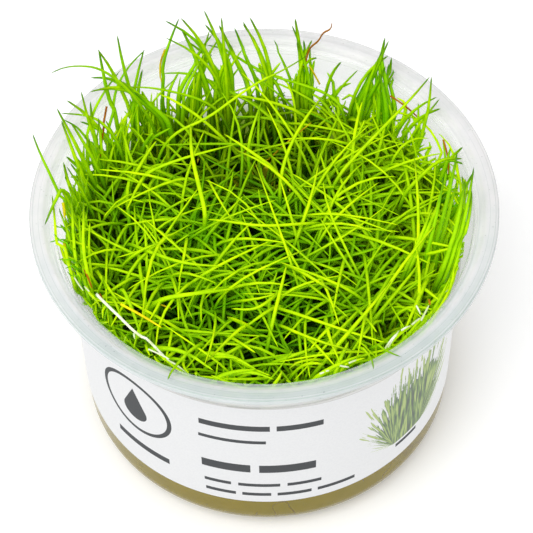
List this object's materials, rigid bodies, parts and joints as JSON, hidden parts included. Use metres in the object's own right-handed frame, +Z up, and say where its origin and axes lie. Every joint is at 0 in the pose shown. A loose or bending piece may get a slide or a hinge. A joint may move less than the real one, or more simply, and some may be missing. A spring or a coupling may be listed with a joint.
{
  "type": "dwarf hairgrass in a growing cup",
  "caption": "Dwarf hairgrass, a fine grass-like aquarium plant, growing on gel in a clear flanged plastic cup with a blank paper sleeve.",
  "frame": {"origin": "centre of the cup's flat base, on the surface it stands on", "axes": "+Z up along the cup's axis, -Y towards the pictured front, +X to the viewer's right from the front"},
  "size_m": [0.1, 0.1, 0.0857],
  "materials": {
    "clear_plastic": "clear, slightly milky, smooth",
    "white_paper": "smooth coated paper",
    "growth_gel": "wet, cloudy olive gel",
    "pale_runner": "satin",
    "fresh_leaf": "satin leaf"
  },
  "bodies": {
    "root": {"cup": "clear_plastic", "paper_sleeve": "white_paper", "growth_gel": "growth_gel", "runner": "pale_runner", "tuft_centre": "fresh_leaf", "tuft_inner_1": "fresh_leaf", "tuft_inner_2": "fresh_leaf", "tuft_inner_3": "fresh_leaf", "tuft_inner_4": "fresh_leaf", "tuft_inner_5": "fresh_leaf", "tuft_inner_6": "fresh_leaf", "tuft_rim_1": "fresh_leaf", "tuft_rim_2": "fresh_leaf", "tuft_rim_3": "fresh_leaf", "tuft_rim_4": "fresh_leaf", "tuft_rim_5": "fresh_leaf", "tuft_rim_6": "fresh_leaf", "tuft_rim_7": "fresh_leaf", "tuft_rim_8": "fresh_leaf", "tuft_rim_9": "fresh_leaf", "tuft_rim_10": "fresh_leaf", "tuft_rim_11": "fresh_leaf", "tuft_rim_12": "fresh_leaf"}
  },
  "joints": []
}
